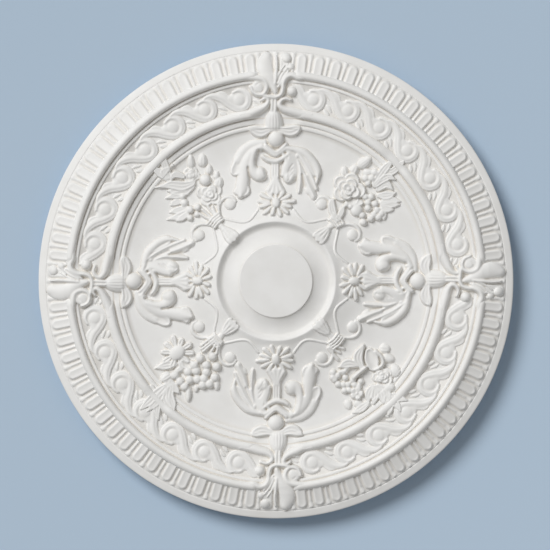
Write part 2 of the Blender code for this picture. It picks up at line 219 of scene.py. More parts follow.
def grid_faces(rows, columns, closed):
    """Faces of four over a grid of corners, round a full turn if it is closed."""
    row, column = np.meshgrid(np.arange(rows - 1), np.arange(columns if closed else columns - 1), indexing="ij")
    after = (column + 1) % columns
    near, far = row * columns, (row + 1) * columns
    return np.stack([near + column, near + after, far + after, far + column], axis=-1).reshape(-1, 4)


def painted_shade_share(height, rounds):
    """How far each corner lies below its surroundings, where 1 is a full hollow: its share of the shade painted
    into the hollows.
    """
    return np.clip((soften(height, rounds) - height) / CARVED_SHADE_DEPTH, 0.0, 1.0)


def turned_face():
    """The mouldings, dish and field in one closed turning with its flat back and a small cap at each end."""
    columns = TURNED_COLUMNS
    angle = np.arange(columns) * 360 / columns
    back = [RIM_RADIUS, RIM_RADIUS, RIM_RADIUS - 1, 200.0, CAP_RADIUS]
    rings_r = np.concatenate([[CAP_RADIUS], PROFILE[1:, 0], back])
    rad, ang = np.meshgrid(rings_r, angle, indexing="ij")
    height = ground(rad, ang)
    height[0] = SEAT_LEVEL
    height[-5] = RIM_FOOT
    height[-4:] = 0.0
    turn = np.radians(ang)
    corners = metres(rad * np.sin(turn), rad * np.cos(turn), height)
    # Painted shade: each ring's depth below its smoothed neighbours sets how much darker, warmer colour is painted
    # into the turning's hollows
    fine = np.arange(0, RIM_RADIUS + 0.5, 0.5)
    level = np.interp(fine, PROFILE[:, 0], PROFILE[:, 1])
    window = np.hanning(2 * SHADE_REACH + 1)
    below = np.convolve(np.pad(level, SHADE_REACH, mode="edge"), window / window.sum(), "valid") - level
    painted_shade = np.clip(np.interp(rings_r, fine, below) / TURNED_SHADE_DEPTH, 0, 1)
    painted_shade[-5:] = 0
    painted_shade = np.repeat(painted_shade, columns)
    half = np.arange(columns // 2 - 1)
    cap = np.stack([half, half + 1, columns - 2 - half, columns - 1 - half], axis=-1)
    last = (len(rings_r) - 1) * columns
    faces = np.concatenate([grid_faces(*height.shape, True), cap[:, ::-1], cap + last])
    return add_mesh("rose_turned_face", corners.reshape(-1, 3), faces, painted_shade)


# Relief

class Relief:
    """A sheet of carving: places out along the radius and across it clockwise, and how far each rises."""

    def __init__(self, out, across):
        self.out = out
        self.across = across
        self.rise = np.zeros_like(out)

    def near(self, points, reach):
        """The corners in the square round some points."""
        low, high = points.min(0) - reach, points.max(0) + reach
        inside = (self.out > low[0]) & (self.out < high[0]) & (self.across > low[1]) & (self.across < high[1])
        return np.nonzero(inside)

    def lift(self, where, rise):
        self.rise[where] = np.maximum(self.rise[where], rise)

    def measure(self, path):
        """The corners near a path of (out, across, half width), how far off it they lie as a part of the half
        width, on which side, and whether they lie within it."""
        points = curve(np.array(path, float))
        where = self.near(points[:, :2], points[:, 2].max())
        place = np.stack([self.out[where], self.across[where]], axis=-1)
        best = np.full(len(place), np.inf)
        side = np.zeros(len(place))
        for start, end in zip(points, points[1:]):
            run = end[:2] - start[:2]
            length = max(float(run @ run), 1e-9)
            along = np.clip((place - start[:2]) @ run / length, 0, 1)
            offset = place - start[:2] - along[:, None] * run
            width = start[2] + along * (end[2] - start[2])
            far = np.hypot(offset[:, 0], offset[:, 1]) / width
            closer = far < best
            best[closer] = far[closer]
            turn = run[0] * offset[:, 1] - run[1] * offset[:, 0]
            side[closer] = np.sign(turn[closer])
        return where, np.clip(best, 0, 1), side, best < 1

    def stroke(self, kind, level, rise, *path):
        """A raised form along a path. Its section is one of SECTIONS, on top of a level."""
        where, off, side, inside = self.measure(path)
        height = level + rise * SECTIONS[kind](off, side)
        self.lift(where, np.where(inside, height, 0.0))

    def groove(self, depth, *path):
        """A hollow along a path, down to the ground at most."""
        where, off, _, inside = self.measure(path)
        self.rise[where] -= np.where(inside, depth * (1 - off ** 2), 0.0)
        self.rise = np.maximum(self.rise, 0.0)

    def around(self, out, across, reach):
        """The corners round a place, and how far out and across from it they lie."""
        where = self.near(np.array([[out, across]], float), reach)
        return where, self.out[where] - out, self.across[where] - across

    def polar(self, out, across, reach, stretch=1.0):
        """The corners round a place, and their distance and direction from it."""
        where, up, over = self.around(out, across, reach * max(stretch, 1.0))
        over = over / stretch
        return where, np.hypot(up, over), np.arctan2(over, up)

    def ball(self, out, across, radius, rise, level=0.0, stretch=1.0):
        where, far, _ = self.polar(out, across, radius, stretch)
        self.lift(where, np.where(far < radius, level + rise * dome(far / radius), 0.0))

    def berry(self, out, across, radius, rise, level=0.0):
        """A ball with a small dimple."""
        where, far, _ = self.polar(out, across, radius)
        height = level + rise * dome(far / radius)
        height -= 0.9 * np.exp(-(far / (0.22 * radius)) ** 2)
        self.lift(where, np.where(far < radius, height, 0.0))

    def daisy(self, out, across, radius, petals, rise, stretch=1.0, button=0.3, turned=0.0):
        """Long petals of uneven reach, each creased down its middle, round a seeded button."""
        for petal in range(petals):
            turn = 2 * math.pi * (petal + turned + 0.12 * math.sin(3.1 * petal)) / petals
            reach = radius * (0.93 + 0.08 * math.sin(2.4 * petal + 1.0))
            step = (reach * math.cos(turn), reach * math.sin(turn) * stretch)
            path = [(out + share * step[0], across + share * step[1], half * radius * 13 / petals)
                    for share, half in ((0.34, 0.06), (0.55, 0.12), (0.78, 0.145), (0.93, 0.12), (1.0, 0.05))]
            self.stroke("petal", rise * (0.18 + 0.1 * (petal % 2)), 0.52 * rise, *path)
        core = button * radius
        where, up, over = self.around(out, across, 1.3 * core)
        off = np.hypot(up / 1.22, over / 0.96) / core
        seeds = 0.9 * np.cos(1.75 * (up + over)) + 0.4 * np.cos(2.0 * (up - over))
        height = rise * (0.66 + 0.46 * dome(off)) + seeds * (off < 0.92)
        self.lift(where, np.where(off < 1, height, 0.0))

    def flower(self, out, across, radius, petals, rise, stretch=1.0, turned=0.0, level=0.0):
        """Broad cupped petals round a small eye."""
        where, far, turn = self.polar(out, across, radius, stretch)
        phase = (turn * petals / (2 * math.pi) + turned) % 1.0 - 0.5
        share = far / radius
        across_petal = np.abs(phase) * 2
        edge = 0.72 + 0.28 * np.sqrt(np.clip(1 - across_petal ** 2.2, 0, 1))
        section = np.clip(1 - across_petal ** 5, 0, 1) ** 0.5
        cup = 0.45 + 0.55 * np.clip(share / edge, 0, 1) ** 1.6
        length = np.clip((edge - share) / 0.1, 0, 1) ** 0.5
        height = level + rise * (0.35 + 0.65 * section * cup) * length
        self.lift(where, np.where(share < edge, height, 0.0))
        eye = 0.2 * radius
        self.lift(where, np.where(far < eye, level + 0.8 * rise * dome(far / eye) + 0.25 * rise, 0.0))

    def rose(self, out, across, radius, rise, stretch=1.0, turned=0.0):
        """Three rings of overlapping petals with raised lips round a rolled heart."""
        rings = ((0.60, 0.0, 5, 0.52), (0.36, 0.30, 4, 0.40), (0.17, 0.55, 3, 0.26))
        for ring, (reach, lowest, count, size) in enumerate(rings):
            for petal in range(count):
                turn = 2 * math.pi * (petal / count + 0.37 * ring) + turned
                spot = (out + reach * radius * math.cos(turn), across + reach * radius * math.sin(turn) * stretch)
                where, far, toward = self.polar(spot[0], spot[1], size * radius, stretch)
                share = far / (size * radius)
                facing = np.cos(toward - turn)
                tilt = 0.30 + 0.16 * share * facing
                lip = 0.16 * np.exp(-((share - 0.86) / 0.13) ** 2) * np.clip(facing + 0.55, 0, 1)
                edge = np.clip((1 - share) / 0.14, 0, 1) ** 0.5
                order = 0.04 * petal
                height = rise * (lowest + order + (tilt + lip) * edge)
                self.lift(where, np.where(share < 1, height, 0.0))
        self.ball(out, across, 0.13 * radius, 0.3 * rise, 0.8 * rise, stretch)

    def bud(self, out, across, length, width, turn, rise, ribs):
        """A pointed ribbed bud. Its long side turns clockwise from the radius, in degrees."""
        where, up, over = self.around(out, across, max(length, width))
        turn = math.radians(turn)
        along = (up * math.cos(turn) + over * math.sin(turn)) / (length / 2)
        aside = (over * math.cos(turn) - up * math.sin(turn)) / (width / 2)
        waist = np.sqrt(np.clip(1 - np.abs(along) ** 2.2, 0, 1)) * (1 - 0.22 * along)
        off = aside / np.maximum(waist, 0.05)
        body = dome(off) * np.clip(1 - np.abs(along) ** 3, 0, 1) ** 0.5
        grooves = 1 - 0.16 * (0.5 + 0.5 * np.cos(math.pi * (ribs + 1) * off)) * (ribs > 0)
        self.lift(where, np.where((np.abs(off) < 1) & (np.abs(along) < 1), rise * body * grooves, 0.0))


# The sections of a stroke: the height at an offset of 0 to 1 from the path, on its side -1 or 1

def section_round(off, side):
    return dome(off)


def section_flat(off, side):
    return np.sqrt(1 - off ** 6)


def section_ridge(off, side):
    return (1 - off) ** 0.85


def section_leaf(off, side):
    """Cupped, with raised edges and a midrib."""
    return full_edge(off, 0.2) * (0.56 + 0.44 * off ** 1.6 + 0.24 * np.exp(-(off / 0.16) ** 2))


def section_petal(off, side):
    """Full edges with a crease between them."""
    return full_edge(off, 0.35) * (0.92 + 0.08 * off - 0.34 * np.exp(-(off / 0.22) ** 2))


def section_strand(off, side):
    """Round, with a shallow groove beside its crest."""
    return dome(off) * (1 - 0.30 * np.exp(-((off * side - 0.35) / 0.16) ** 2))


def section_cup(off, side):
    """Low in the middle, with high edges."""
    return full_edge(off, 0.18) * (0.30 + 0.70 * off ** 2.2)


def section_scoop(off, side):
    """High along one edge and falling to the other."""
    return full_edge(off, 0.2) * (0.62 + 0.38 * off * side)


SECTIONS = {"round": section_round, "flat": section_flat, "ridge": section_ridge, "leaf": section_leaf,
            "cup": section_cup, "scoop": section_scoop, "petal": section_petal, "strand": section_strand}


def curve(points):
    """A smooth line through points, with six places to each stretch and no half width under 0.2."""
    padded = np.vstack([2 * points[0] - points[1], points, 2 * points[-1] - points[-2]])
    line = []
    for p0, p1, p2, p3 in zip(padded, padded[1:], padded[2:], padded[3:]):
        for t in np.arange(6) / 6:
            line.append(0.5 * (2 * p1 + (p2 - p0) * t + (2 * p0 - 5 * p1 + 4 * p2 - p3) * t * t
                               + (3 * p1 - p0 - 3 * p2 + p3) * t ** 3))
    line.append(points[-1])
    line = np.array(line)
    line[:, 2] = np.maximum(line[:, 2], 0.2)
    return line


def sheet(name, relief, x, y, rounds):
    """Lays a relief on the face without its frames, and keeps the cells that stand above the whole face. Their
    outer corners are sunk under it, but a form that reaches the end of its grid is cut off open there."""
    radius = np.hypot(x, y)
    angle = np.degrees(np.arctan2(x, y)) % 360
    face = ground(radius, angle)
    top = flat_ground(radius) + soften(relief.rise, rounds)
    top = np.where(top > LIP_LEVEL, LIP_LEVEL + SOFT_LIMIT * np.tanh((top - LIP_LEVEL) / SOFT_LIMIT), top)
    rise = top - face - TRIM
    shown = (rise > 0) & (soften(np.maximum(rise, 0), 6) > SPECK)
    height = face + np.where(shown, rise, -SUNK)
    # Painted shade in the carving's hollows, from how far each corner lies below its softened surroundings
    painted_shade = painted_shade_share(face + np.maximum(rise, 0), 14)
    keep = (shown[:-1, :-1] | shown[1:, :-1] | shown[:-1, 1:] | shown[1:, 1:]).ravel()
    faces = grid_faces(*x.shape, False)[keep]
    used, faces = np.unique(faces, return_inverse=True)
    faces = faces.reshape(-1, 4)
    corners = metres(x, y, height).reshape(-1, 3)[used]
    return add_mesh(name, corners, faces, painted_shade.ravel()[used])


def patch(angle, out_low, out_high, across_low, across_high):
    """A square grid along the ray at an angle, and where its corners lie on the face."""
    places = np.arange(out_low, out_high, STEP), np.arange(across_low, across_high, STEP)
    out, across = np.meshgrid(*places, indexing="ij")
    turn = math.radians(angle)
    x = out * math.sin(turn) + across * math.cos(turn)
    y = out * math.cos(turn) - across * math.sin(turn)
    return Relief(out, across), x, y


# Flutes

def flute_ring(name, first, count):
    """A run of the fluted band: cupped tongues with round outer ends, and thin rails with a dart between them."""
    share = np.arange(FLUTE_COLUMNS * count + 1) / FLUTE_COLUMNS
    radii = np.concatenate([[370.6], np.arange(371.2, 406.6, 1.1), [406.9]])
    rad, pos = np.meshgrid(radii, share, indexing="ij")
    pitch = 2 * math.pi * rad / FLUTES
    side = (pos % 1.0 - 0.5) * pitch
    up = np.clip(rad - TONGUE_END, 0, None)
    off = np.hypot(side, up) / TONGUE_HALF
    tongue = np.where(off < 1, np.clip((1 - off) / 0.17, 0, 1) ** 0.55 * (3.1 + 1.9 * off ** 2.4), 0.0)
    gap = np.abs(pitch / 2 - np.abs(side))
    rail_half = 1.9 + 1.6 * smooth_step(392, 404, rad)
    rail = 3.4 * dome(gap / rail_half)
    dart = 2.2 * np.exp(-(gap / 1.1) ** 2) * smooth_step(391, 395, rad) * (1 - smooth_step(401, 405, rad))
    relief = np.maximum(tongue, rail - dart * 0.9) * smooth_step(405.9, 404.4, rad)
    pocket = 1.0 * (1 - smooth_step(371.0, 376.0, rad)) * (off > 0.98)
    relief = soften(relief - pocket, 1)
    height = np.interp(rad, FLUTE_FLOOR[:, 0], FLUTE_FLOOR[:, 1]) + relief
    height[0] = 26.0
    height[-1] = 13.2
    turn = np.radians((first + pos) * 360 / FLUTES)
    corners = metres(rad * np.sin(turn), rad * np.cos(turn), height)
    faces = grid_faces(*rad.shape, False)
    # The flutes' share of the shade painted into their grooves and pockets
    return add_mesh(name, corners.reshape(-1, 3), faces, painted_shade_share(height, 10))


# Running scrolls

SCROLL = ((17, -61, 1.6), (20, -51, 4.0), (17.5, -40, 6.2), (9, -28, 7.4), (-3.5, -18, 7.6), (-14, -6, 7.2),
          (-15.8, 5, 6.8), (-9, 14.5, 6.6), (3, 17, 6.2), (13, 11.5, 5.0), (17, 2, 3.6), (15, -7, 2.4))


def scroll(relief, across):
    """One wave: a strand from the top of the last curl, down under its own eye, up beside it and over."""
    out = BAND_MIDDLE
    relief.stroke("strand", 0.6, 4.8, *[(out + up, across + over, half) for up, over, half in SCROLL])
    relief.stroke("flat", 0, 3.4, (out, across - 4, 15), (out, across + 4, 15))
    relief.stroke("round", 0.5, 3.6, (out + 4, across - 16, 8), (out + 2, across - 4, 10))
    relief.ball(out, across, 10.4, 3.6, 2.6)
    relief.stroke("leaf", 0.0, 4.2, (out - 13, across + 24, 1.0), (out - 17.5, across + 30, 3.6),
                  (out - 22.5, across + 37, 1.0))
    relief.stroke("leaf", 0.0, 3.8, (out - 4, across + 25, 0.8), (out - 7, across + 31, 2.8),
                  (out - 13, across + 38, 0.8))
    relief.stroke("leaf", 0.0, 4.0, (out + 22, across - 33, 0.8), (out + 19, across - 26, 3.2),
                  (out + 12, across - 19, 2.6), (out + 6, across - 15, 0.8))


def scroll_band(name, corner):
    """A quarter of the band with its seven waves."""
    turns = np.arange(-QUARTER_HALF, QUARTER_HALF, math.degrees(STEP / BAND_MIDDLE))
    places = np.arange(302.0, 352.6, STEP), turns * math.pi / 180 * BAND_MIDDLE
    out, across = np.meshgrid(*places, indexing="ij")
    relief = Relief(out, across)
    for wave in range(SCROLLS_IN_QUARTER):
        scroll(relief, math.radians((wave - SCROLLS_IN_QUARTER // 2) * SCROLL_PITCH) * BAND_MIDDLE)
    relief.rise *= SCROLL_SHARE * smooth_step(302.5, 304.5, out) * smooth_step(352.2, 350.8, out)
    turn = math.radians(corner) + across / BAND_MIDDLE
    return sheet(name, relief, out * np.sin(turn), out * np.cos(turn), 2)


# Axis ornaments

def plume(relief):
    """The crossing of band and frames: the frames' curled ends, the plume over the flutes and its stem."""
    stroke = relief.stroke
    stroke("round", 1, 10.4, (358.8, -64, 6.8), (361.1, -50, 7.2), (359.2, -35.1, 7), (355.6, -22.2, 6),
           (344.8, -16.4, 5.2), (333.4, -19.5, 4.8), (329.0, -29.7, 4.4), (333.4, -39.8, 4), (343.2, -44.3, 3))
    relief.ball(342.5, -30.4, 13.0, 4.5, 5.5)
    relief.groove(2.0, (333.7, -36.4, 1), (332.4, -25.6, 1.6), (341.8, -21.6, 1.6), (350.0, -28.3, 1.2),
                  (345.9, -35.1, 1))
    stroke("round", 1, 10.4, (358.8, 64, 6.8), (361.1, 50, 7.2), (360.1, 40.0, 7), (364.2, 28.5, 6.4),
           (360.1, 18.4, 5.6), (350.0, 13.0, 5), (339.1, 12.3, 4.6), (329.6, 8.9, 4.4), (324.9, 0.1, 4.4),
           (325.6, -12.1, 4.4), (328.3, -25.6, 3))
    relief.ball(335.1, 28.5, 9.5, 11, 1)
    stroke("round", 0, 10.3, (290.9, -63, 8.2), (293.7, -48, 8.2), (299.2, -36.4, 8.2), (305.3, -24.3, 7),
           (312.0, -16.1, 5.4), (319.5, -13.4, 4.4), (322.9, -18.8, 3.6), (319.5, -25.6, 2.6))
    stroke("round", 0, 10.3, (290.9, 63, 8.2), (293.7, 48, 8.2), (299.2, 28.5, 8.2), (303.2, 15.0, 7),
           (310.0, 6.9, 5.4), (317.5, 8.2, 4.6), (322.2, 16.4, 3.8), (319.5, 26.5, 2.8))
    stroke("round", 1.5, 8, (322.9, -6.4, 3.2), (301.2, -6.9, 3.4))
    stroke("round", 1.5, 8, (322.9, -0.2, 3.2), (301.2, -1.0, 3.4))
    stroke("round", 3, 7.5, (397.3, -16.8, 9), (385.2, -20.2, 14), (371.6, -18.2, 14.5), (356.7, -10.7, 11),
           (344.5, -4.6, 8), (333.7, -1.2, 5))
    stroke("round", 3, 9, (398.0, 0.4, 2.6), (382.4, 1.5, 3.4), (364.8, 0.1, 3.6), (348.6, -1.2, 3.2))
    stroke("round", 2, 8, (381.8, 15.7, 2.4), (370.3, 7.6, 2.6), (355.4, 1.5, 2.4))
    stroke("round", 2, 8, (377.0, 20.4, 2.4), (364.8, 10.9, 2.6), (348.6, 3.5, 2.4))
    stroke("round", 2, 8, (370.9, 21.8, 2.4), (359.4, 13.0, 2.6), (343.2, 4.8, 2.4))
    relief.ball(394.0, 18.4, 9.6, 9, 3)
    relief.ball(379.1, 26.5, 7.2, 8, 2)


def crossing_bud(relief):
    """The ribbed bud that crosses the inner frame, its two side leaves and the ball below it."""
    relief.stroke("leaf", 2, 9, (268.7, -9.4, 5), (263.3, -25.6, 9.6), (266.0, -36.4, 8.6), (272.1, -47.3, 1))
    relief.stroke("leaf", 2, 9, (267.4, 8.2, 5), (264.7, 23.1, 9.6), (267.4, 34.0, 8.6), (272.1, 43.7, 1))
    relief.bud(282.9, -3.7, 43, 32, 0, 14, 5)
    relief.ball(250.4, 0.1, 14.6, 14, 3)


def acanthus(relief):
    """The leaf that hangs from the ball, with a hollowed mantle, curling lobes and fanned fingers."""
    stroke, groove = relief.stroke, relief.groove
    stroke("round", 1, 6, (237.6, -31.0, 8), (222.7, -52.7, 15), (195.6, -57.4, 11), (168.5, -60.1, 10))
    stroke("round", 1, 6, (229.5, 28.5, 8), (209.2, 46.1, 15), (182.1, 57.0, 13), (161.8, 61.0, 10))
    stroke("round", 1.5, 6.5, (245.7, -20.2, 5), (240.3, -41.9, 8), (228.1, -58.1, 9), (213.2, -67.6, 8))
    stroke("round", 3, 9, (237.6, -25.6, 6), (225.4, -41.9, 10), (206.4, -52.7, 11), (184.8, -56.8, 10.5),
           (165.8, -60.1, 11), (150.3, -62.8, 5))
    stroke("leaf", 2, 8, (174.0, -58.1, 5), (160.4, -63.5, 9), (157.0, -73.7, 1.5))
    stroke("leaf", 2, 8, (171.3, -55.4, 5), (159.1, -52.7, 7), (148.9, -62.2, 3))
    stroke("round", 4, 9, (228.1, -39.2, 6), (211.9, -43.2, 7), (197.0, -41.9, 9), (187.5, -31.0, 11),
           (188.2, -24.3, 9))
    relief.ball(189.5, -27.0, 12, 10, 5)
    stroke("scoop", 3, 9, (237.6, 15.0, 5), (226.8, 28.5, 9), (211.9, 31.2, 12), (195.6, 27.2, 13),
           (183.4, 23.8, 11), (177.3, 23.1, 4))
    stroke("round", 4, 7, (225.4, 12.3, 3), (213.2, 19.1, 5), (198.3, 15.0, 5), (187.5, 12.3, 4))
    relief.ball(184.8, 23.1, 11, 9, 4)
    stroke("round", 3, 8, (233.5, 28.5, 5), (226.8, 48.8, 7), (213.2, 63.7, 7), (198.3, 72.5, 6.5),
           (186.1, 73.9, 4), (172.6, 71.9, 1))
    stroke("ridge", 2, 9, (232.2, 34.0, 4), (213.2, 48.8, 6), (190.2, 61.0, 6), (161.8, 72.5, 2.4))
    stroke("ridge", 2, 9, (222.7, 36.7, 4), (195.6, 48.8, 6.5), (171.3, 57.0, 8), (148.9, 67.1, 6))
    stroke("ridge", 2, 9, (220.0, 38.0, 4), (195.6, 43.4, 6), (176.7, 42.8, 6), (157.0, 40.7, 3))
    stroke("round", 1, 6, (206.4, 54.3, 4), (203.7, 61.0, 5), (194.3, 65.1, 5))
    stroke("round", 4, 8, (236.2, -22.9, 4), (229.5, -12.1, 4.6), (222.7, -1.2, 4.6), (228.8, 9.6, 4.6),
           (234.9, 19.1, 4.6), (232.2, 28.5, 4))
    stroke("round", 5, 8, (240.3, -18.2, 3), (233.5, -10.7, 3.6), (227.4, 0.1, 3.6), (234.9, 10.9, 3.6),
           (241.6, 17.7, 3))
    stroke("round", 4, 8, (220.0, -24.3, 3), (213.9, -13.4, 4.6), (211.9, 0.1, 5), (217.3, 12.3, 4.6),
           (225.4, 23.1, 3))
    for across in (-6.0, -1.2, 3.5):
        stroke("round", 2, 7, (212.0, across, 2.3), (182.0, across, 2.5))
    stroke("round", 3, 6, (182.8, -2.6, 4), (171.3, -7.3, 4), (160.4, -13.4, 5))
    stroke("round", 3, 6, (182.8, -1.2, 4), (169.9, -3.3, 4), (157.7, -6.0, 5))
    stroke("round", 3, 6, (182.8, 0.1, 4), (169.9, 1.5, 4), (157.7, 2.8, 5))
    stroke("round", 3, 6, (182.8, 0.8, 4), (171.3, 5.5, 4), (161.8, 9.6, 5))
    groove(9, (229.5, -30.4, 4), (222.7, -29.0, 6), (214.6, -27.0, 4))
    groove(7, (206.4, -31.0, 3), (201.0, -20.2, 4.5), (190.2, -16.8, 4))
    groove(7, (201.0, -49.3, 2), (187.5, -47.3, 2.4), (176.7, -43.2, 3), (165.8, -41.2, 5))
    groove(6, (188.8, -14.8, 3), (182.1, -14.5, 3))
    groove(5, (217.3, 38.7, 2), (203.7, 46.1, 3), (188.8, 52.9, 2.4))
    groove(5, (188.8, 46.1, 2), (175.3, 48.8, 2.6), (165.8, 51.6, 2))
    for shift in (0, 7.4, 14.8):
        groove(2.6, (206.5 - shift, 29.9, 1.2), (199.7 - shift, 25.2, 1.6), (190.2 - shift, 21.1, 1.2))
    stroke("cup", 3.5, 7, (218.6, -62.2, 4), (206.4, -67.6, 8), (195.6, -71.4, 9), (190.2, -73.7, 4))
    stroke("cup", 4.5, 7, (218.6, 54.3, 4), (206.4, 64.4, 8), (194.3, 71.2, 8.5), (187.5, 73.2, 4))
    relief.daisy(138.5, 0.1, 26, 13, 12, 1.32, 0.30)


# Diagonal ornaments

def tie(relief):
    """The lotus that opens from the lip, the ribbed tie and the curls beside it."""
    stroke = relief.stroke
    stroke("round", 1.0, 4.0, (107, 0, 7), (114, 0, 9), (124, 0, 6.5), (136, 0, 5), (146, 0, 8))
    for side in (-1, 1):
        stroke("petal", 1.0, 6.0, (103, 8.5 * side, 2), (108, 8.2 * side, 4.2), (117, 6.6 * side, 4.6),
               (129, 3.4 * side, 2.8))
    stroke("petal", 2.0, 6.0, (101, 0, 2), (106, 0, 5.2), (114, 0, 6), (130, 0, 3.2))
    for side in (-1, 1):
        stroke("round", 1.0, 4.4, (146, 9 * side, 2.4), (155, 14 * side, 2.6), (164, 22 * side, 3),
               (168.5, 32 * side, 3.2),
               (166.5, 43 * side, 3.2), (158, 50 * side, 2.8), (149, 49.5 * side, 1.6))
        relief.ball(153.5, 39 * side, 10.2, 6.5, 1.0)
    for step in range(4):
        out = 143 + 4.6 * step
        stroke("round", 2.5, 8, (out, -10 - step, 1.9), (out + 1.4, 0, 1.9), (out, 10 + step, 1.9))


def thin_ribs(relief):
    for side in (-1, 1):
        path = []
        for share in np.linspace(0, 1, 7):
            radius = 147 - 17 * share - 21 * math.sin(math.pi * share)
            turn = math.radians(side * (4 + 27 * share))
            path.append((radius * math.cos(turn), radius * math.sin(turn), 2.2))
        relief.stroke("round", 0, 3.2, *path)


def bouquet_nw(relief):
    stroke, ball, leaf = relief.stroke, relief.ball, "leaf"
    for path in (((146.9, 2.6, 2.4), (178.5, 8.3, 2.6)), ((148.3, -0.3, 2.4), (181.3, -3.1, 2.6)),
                 ((146.5, 4.4, 2.4), (172.0, 13.4, 2.6)),
                 ((146.2, 6.2, 2.4), (167.7, 23.4, 2.8)), ((149.8, -3.1, 2.4), (179.9, -11.8, 2.6))):
        stroke("round", 2, 6, *path)
    stroke(leaf, 2, 8, (225.9, 18.4, 5), (235.2, 1.9, 9), (249.6, -9.6, 8), (258.9, -21.8, 4), (267.5, -34.0, 1))
    stroke(leaf, 1, 7, (221.6, 14.1, 4), (225.9, -1.7, 8), (235.9, -13.2, 7), (248.1, -22.5, 1.5))
    stroke(leaf, 1, 7, (220.8, -1.0, 4), (230.2, -14.6, 7.5), (241.3, -34.4, 1))
    stroke(leaf, 1, 6, (216.5, -16.8, 4), (223.7, -28.3, 6), (226.2, -37.2, 1))
    stroke(leaf, 1, 6, (204.3, -20.4, 4), (211.5, -34.7, 6.5), (218.3, -47.3, 1))
    stroke(leaf, 1, 7, (196.4, -22.5, 4), (200.7, -38.3, 7), (212.6, -59.5, 1))
    stroke(leaf, 2, 7, (195.0, -26.8, 4), (195.7, -37.6, 5.5), (198.9, -48.7, 2))
    stroke(leaf, 2, 9, (247.4, 14.1, 5), (258.9, 6.9, 6), (257.4, -4.6, 1.5))
    stroke(leaf, 2, 8, (265.3, -5.3, 5), (276.1, -4.6, 6), (274.0, 7.6, 3))
    stroke(leaf, 1, 8, (260.3, -6.0, 6), (278.3, -9.6, 8), (293.3, -11.8, 4), (299.1, -13.2, 1))
    stroke(leaf, 1, 8, (263.9, -2.4, 5), (285.5, 7.6, 7), (302.7, 17.7, 2))
    ball(273.4, 15.0, 3.6, 7, 2)
    ball(271.4, -4.2, 4, 6, 2)
    relief.bud(255.7, 43.2, 26, 13, 40, 9, 3)
    relief.bud(242.7, 59.0, 24, 17, 45, 9, 2)
    relief.bud(223.0, 55.7, 18, 13, 45, 9, 2)
    relief.bud(206.5, 57.9, 16, 11, 50, 8, 0)
    relief.bud(195.0, 52.1, 19, 17, 60, 9, 2)
    ball(212.2, -16.8, 7, 8, 2)
    relief.berry(196.4, -18.2, 7, 9, 3)
    relief.berry(186.4, -28.3, 6, 8, 2)
    ball(190.0, -6.0, 6.5, 9, 3)
    ball(182.1, -15.3, 5.5, 7, 2)
    ball(222.3, -11.0, 5.5, 7, 3)
    relief.rose(237.7, 26.7, 14, 9)
    relief.rose(192.1, 26.3, 21, 11, 1.0, 0.6)
    ball(214.4, 37.8, 10, 10, 6)


def bouquet_ne(relief):
    stroke, ball, leaf = relief.stroke, relief.ball, "leaf"
    stroke(leaf, 3, 8, (150.9, -0.5, 3), (158.1, -15.7, 7), (166.8, -27.6, 6), (173.2, -29.2, 2))
    stroke(leaf, 3, 7, (153.3, 1.9, 3), (166.8, -3.7, 5.5), (177.2, -7.7, 3))
    stroke(leaf, 2, 9, (245.0, 1.1, 5), (262.6, -2.1, 7), (280.9, -4.5, 7), (301.3, -4.1, 1))
    stroke(leaf, 2, 9, (243.4, 4.3, 5), (258.6, 6.7, 6.5), (271.3, 11.5, 6), (275.7, 23.0, 1))
    stroke(leaf, 1, 8, (273.7, 2.7, 5), (283.3, 9.1, 7), (300.1, 9.9, 6), (311.2, 9.9, 1))
    stroke(leaf, 1, 8, (242.6, 13.1, 5), (258.6, 16.3, 8), (259.8, 31.8, 1.5))
    stroke(leaf, 1, 8, (236.2, 22.6, 5), (245.8, 32.2, 8), (259.4, 39.4, 1.5))
    stroke(leaf, 1, 7, (229.9, 33.8, 4), (244.2, 41.8, 7), (255.0, 56.5, 1))
    stroke(leaf, 1, 7, (229.1, 36.2, 4), (240.2, 49.0, 6.5), (249.8, 59.3, 1))
    stroke(leaf, 1, 7, (226.7, 38.6, 4), (229.1, 49.0, 6.5), (236.2, 57.7, 1))
    stroke(leaf, 1, 7, (217.9, 37.8, 4), (217.9, 49.0, 7), (212.3, 57.7, 2))
    relief.bud(259.4, -37.2, 30, 20, 8, 11, 4)
    relief.bud(222.7, -51.5, 19, 15, -50, 9, 2)
    relief.bud(237.8, -41.2, 18, 17, -20, 10, 2)
    relief.bud(250.6, -20.4, 20, 15, 40, 10, 3)
    relief.berry(240.2, -16.4, 7, 9, 3)
    relief.berry(247.4, -9.3, 7, 9, 3)
    relief.berry(237.0, -6.9, 6, 8, 3)
    relief.berry(258.6, -12.5, 7, 8, 3)
    for spot in ((205.9, 24.2), (214.7, 37.8), (190.0, 25.8), (196.3, 40.2), (182.8, 36.2), (216.3, 47.4),
                 (205.1, 39.4), (213.1, 17.1), (220.3, 27.4), (217.1, 6.7), (224.3, 13.9), (207.5, 48.2)):
        relief.berry(*spot, 6.4, 8, 3)
    ball(189.2, 12.3, 11, 9, 4)
    stroke("scoop", 3, 8, (186.0, -0.5, 5), (194.8, 0.3, 7), (203.5, 7.5, 6))
    ball(184.0, -7.3, 5, 7, 3)
    ball(186.8, 0.3, 5, 8, 4)
    relief.rose(205.9, -23.6, 26, 17, 1.08, 2.1)


